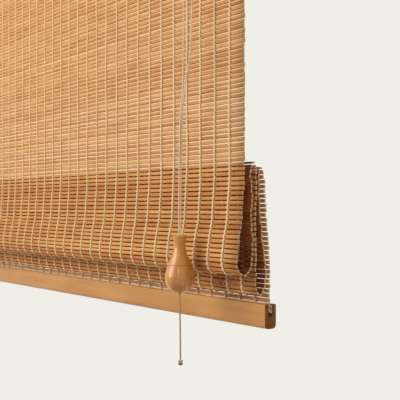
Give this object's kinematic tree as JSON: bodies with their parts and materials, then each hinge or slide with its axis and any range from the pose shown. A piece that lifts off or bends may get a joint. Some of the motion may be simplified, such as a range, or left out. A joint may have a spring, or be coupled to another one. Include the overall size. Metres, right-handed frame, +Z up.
{
  "type": "bamboo roman blind",
  "caption": "Woven bamboo roman blind, partly raised in hanging folds, with a slotted bottom rail, a head rail with cord lock and pulleys, and a turned wooden tassel on pull cords.",
  "frame": {"origin": "middle of the head rail's top face, where it meets the lintel", "axes": "+X along the head rail to the cord side, +Y to the rear, +Z up"},
  "size_m": [0.7, 0.0967, 0.5312],
  "materials": {
    "bamboo_slat": "matt, thin clear coat",
    "warp_thread": "twined cotton",
    "rail_wood": "satin varnish",
    "tassel_wood": "gloss varnish, turned",
    "cord_cotton": "braided cotton",
    "steel": "zinc plated",
    "brass": "satin",
    "wheel_nylon": "moulded nylon"
  },
  "bodies": {
    "head": {"head_rail": "rail_wood", "left_bracket": "steel", "right_bracket": "steel", "bracket_screws": "steel", "left_pulley_housing": "steel", "right_pulley_housing": "steel", "left_pulley_axle": "steel", "right_pulley_axle": "steel", "pulley_screws": "steel", "cord_eyelets": "brass", "cord_lock_body": "steel", "cord_lock_guide": "steel", "cord_lock_pin": "steel", "cord_lock_screws": "steel", "front_panel": "bamboo_slat", "front_warps": "warp_thread", "fold_return": "bamboo_slat", "left_lift_cord": "cord_cotton", "right_lift_cord": "cord_cotton", "left_head_cord": "cord_cotton", "right_head_cord": "cord_cotton", "left_pull_cord": "cord_cotton", "right_pull_cord": "cord_cotton"},
    "stack": {"rear_folds": "bamboo_slat", "rear_warps": "warp_thread", "bottom_rail": "rail_wood", "lift_rings": "brass", "lift_knots": "cord_cotton"},
    "pull": {"tassel": "tassel_wood", "tassel_knot": "cord_cotton", "tail_cord": "cord_cotton", "tail_knot": "cord_cotton"},
    "left_wheel": {"left_pulley_wheel": "wheel_nylon"},
    "right_wheel": {"right_pulley_wheel": "wheel_nylon"},
    "cam": {"cord_lock_cam": "brass"}
  },
  "joints": [
    {"name": "lift", "type": "slide", "parent": "head", "child": "stack", "axis": [0, 0, 1], "range_m": [-0.04, 0.06], "deforming": ["fold_return", "left_lift_cord", "right_lift_cord"]},
    {"name": "pull", "type": "slide", "parent": "head", "child": "pull", "axis": [0, 0, 1], "range_m": [-0.06, 0.04], "deforming": ["left_pull_cord", "right_pull_cord"]},
    {"name": "left_wheel_turn", "type": "hinge", "parent": "head", "child": "left_wheel", "pos_m": [-0.2279, 0.0162, -0.014], "axis": [0, 1, 0], "range_deg": [-330, 490]},
    {"name": "right_wheel_turn", "type": "hinge", "parent": "head", "child": "right_wheel", "pos_m": [0.2421, 0.0162, -0.028], "axis": [0, 1, 0], "range_deg": [-330, 490]},
    {"name": "cam_release", "type": "hinge", "parent": "head", "child": "cam", "pos_m": [0.299, -0.035, -0.025], "axis": [1, 0, 0], "range_deg": [0, 40]}
  ],
  "couplings": [
    {"joint": "pull", "follows": "lift", "ratio": -1},
    {"joint": "left_wheel_turn", "follows": "lift", "rad_per_m": 140.84},
    {"joint": "right_wheel_turn", "follows": "lift", "rad_per_m": 140.84}
  ]
}
